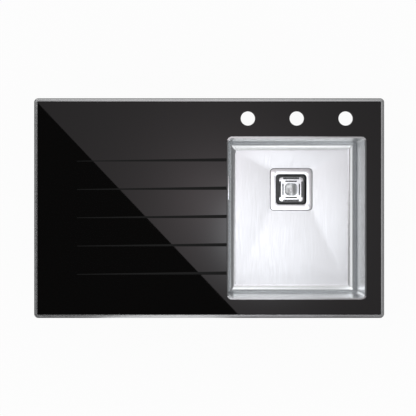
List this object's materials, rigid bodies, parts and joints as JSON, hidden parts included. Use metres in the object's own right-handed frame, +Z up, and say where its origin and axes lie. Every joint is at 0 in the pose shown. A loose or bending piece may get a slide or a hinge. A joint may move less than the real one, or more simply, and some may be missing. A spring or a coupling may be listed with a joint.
{
  "type": "inset kitchen sink with drainer",
  "caption": "Inset kitchen sink: black glass top in a steel tray, deep square-cornered steel bowl at the right with a basket strainer, and a grooved drainer at the left.",
  "frame": {"origin": "centre of the outline at the worktop's upper face, where the rim rests", "axes": "+X to the bowl's end, +Y to the back where the tap holes are, +Z up"},
  "size_m": [0.86, 0.54, 0.2903],
  "materials": {
    "brushed_steel": "satin-brushed stainless steel sheet",
    "polished_steel": "polished stainless steel",
    "black_glass": "black tempered glass, polished face and arrises",
    "black_silicone": "black silicone, smooth",
    "black_rubber": "moulded black rubber",
    "foam_seal": "closed-cell foam strip",
    "white_polypropylene": "moulded white polypropylene",
    "black_polypropylene": "moulded black polypropylene",
    "zinc_steel": "bright zinc-plated pressed steel",
    "damping_pad": "dull bitumen damping sheet"
  },
  "bodies": {
    "sink_body": {"steel_tray": "brushed_steel", "bowl": "brushed_steel", "glass_top": "black_glass", "glass_adhesive": "black_silicone", "glass_edge_seal": "black_silicone", "rim_seal": "foam_seal", "waste_cup": "polished_steel", "waste_flange_seal": "black_rubber", "body_gasket": "black_rubber", "waste_body": "white_polypropylene", "waste_screw": "polished_steel", "overflow_cover": "polished_steel", "overflow_gasket": "black_rubber", "overflow_housing": "white_polypropylene", "overflow_screw": "polished_steel", "overflow_pipe": "white_polypropylene", "overflow_nut_upper": "white_polypropylene", "overflow_nut_lower": "white_polypropylene", "overflow_pipe_rings": "black_rubber", "clip_brackets": "zinc_steel", "drainer_stiffeners": "zinc_steel", "drainer_pad": "damping_pad", "floor_pad": "damping_pad", "wall_pads": "damping_pad"},
    "strainer": {"strainer_plate": "polished_steel", "strainer_knob": "polished_steel", "strainer_stem": "black_polypropylene", "strainer_seal": "black_rubber"},
    "clip_screw_1": {"clip_screw_1": "zinc_steel"},
    "clip_claw_1": {"clip_claw_1": "zinc_steel"},
    "clip_screw_2": {"clip_screw_2": "zinc_steel"},
    "clip_claw_2": {"clip_claw_2": "zinc_steel"},
    "clip_screw_3": {"clip_screw_3": "zinc_steel"},
    "clip_claw_3": {"clip_claw_3": "zinc_steel"},
    "clip_screw_4": {"clip_screw_4": "zinc_steel"},
    "clip_claw_4": {"clip_claw_4": "zinc_steel"},
    "clip_screw_5": {"clip_screw_5": "zinc_steel"},
    "clip_claw_5": {"clip_claw_5": "zinc_steel"},
    "clip_screw_6": {"clip_screw_6": "zinc_steel"},
    "clip_claw_6": {"clip_claw_6": "zinc_steel"},
    "clip_screw_7": {"clip_screw_7": "zinc_steel"},
    "clip_claw_7": {"clip_claw_7": "zinc_steel"},
    "clip_screw_8": {"clip_screw_8": "zinc_steel"},
    "clip_claw_8": {"clip_claw_8": "zinc_steel"}
  },
  "joints": [
    {"name": "strainer_lift", "type": "slide", "parent": "sink_body", "child": "strainer", "axis": [0, 0, 1], "range_m": [0, 0.26]},
    {"name": "clip_1_rise", "type": "slide", "parent": "sink_body", "child": "clip_screw_1", "axis": [0, 0, 1], "range_m": [0, 0.013]},
    {"name": "clip_1_swing", "type": "hinge", "parent": "clip_screw_1", "child": "clip_claw_1", "pos_m": [-0.33, -0.249, -0.05], "axis": [0, 0, 1], "range_deg": [0, 90]},
    {"name": "clip_2_rise", "type": "slide", "parent": "sink_body", "child": "clip_screw_2", "axis": [0, 0, 1], "range_m": [0, 0.013]},
    {"name": "clip_2_swing", "type": "hinge", "parent": "clip_screw_2", "child": "clip_claw_2", "pos_m": [-0.0565, -0.249, -0.05], "axis": [0, 0, 1], "range_deg": [0, 90]},
    {"name": "clip_3_rise", "type": "slide", "parent": "sink_body", "child": "clip_screw_3", "axis": [0, 0, 1], "range_m": [0, 0.013]},
    {"name": "clip_3_swing", "type": "hinge", "parent": "clip_screw_3", "child": "clip_claw_3", "pos_m": [0.33, -0.249, -0.05], "axis": [0, 0, 1], "range_deg": [0, 90]},
    {"name": "clip_4_rise", "type": "slide", "parent": "sink_body", "child": "clip_screw_4", "axis": [0, 0, 1], "range_m": [0, 0.013]},
    {"name": "clip_4_swing", "type": "hinge", "parent": "clip_screw_4", "child": "clip_claw_4", "pos_m": [0.409, 0, -0.05], "axis": [0, 0, 1], "range_deg": [0, 90]},
    {"name": "clip_5_rise", "type": "slide", "parent": "sink_body", "child": "clip_screw_5", "axis": [0, 0, 1], "range_m": [0, 0.013]},
    {"name": "clip_5_swing", "type": "hinge", "parent": "clip_screw_5", "child": "clip_claw_5", "pos_m": [0.275, 0.249, -0.05], "axis": [0, 0, 1], "range_deg": [0, 90]},
    {"name": "clip_6_rise", "type": "slide", "parent": "sink_body", "child": "clip_screw_6", "axis": [0, 0, 1], "range_m": [0, 0.013]},
    {"name": "clip_6_swing", "type": "hinge", "parent": "clip_screw_6", "child": "clip_claw_6", "pos_m": [-0.0565, 0.249, -0.05], "axis": [0, 0, 1], "range_deg": [0, 90]},
    {"name": "clip_7_rise", "type": "slide", "parent": "sink_body", "child": "clip_screw_7", "axis": [0, 0, 1], "range_m": [0, 0.013]},
    {"name": "clip_7_swing", "type": "hinge", "parent": "clip_screw_7", "child": "clip_claw_7", "pos_m": [-0.33, 0.249, -0.05], "axis": [0, 0, 1], "range_deg": [0, 90]},
    {"name": "clip_8_rise", "type": "slide", "parent": "sink_body", "child": "clip_screw_8", "axis": [0, 0, 1], "range_m": [0, 0.013]},
    {"name": "clip_8_swing", "type": "hinge", "parent": "clip_screw_8", "child": "clip_claw_8", "pos_m": [-0.409, 0, -0.05], "axis": [0, 0, 1], "range_deg": [0, 90]}
  ]
}
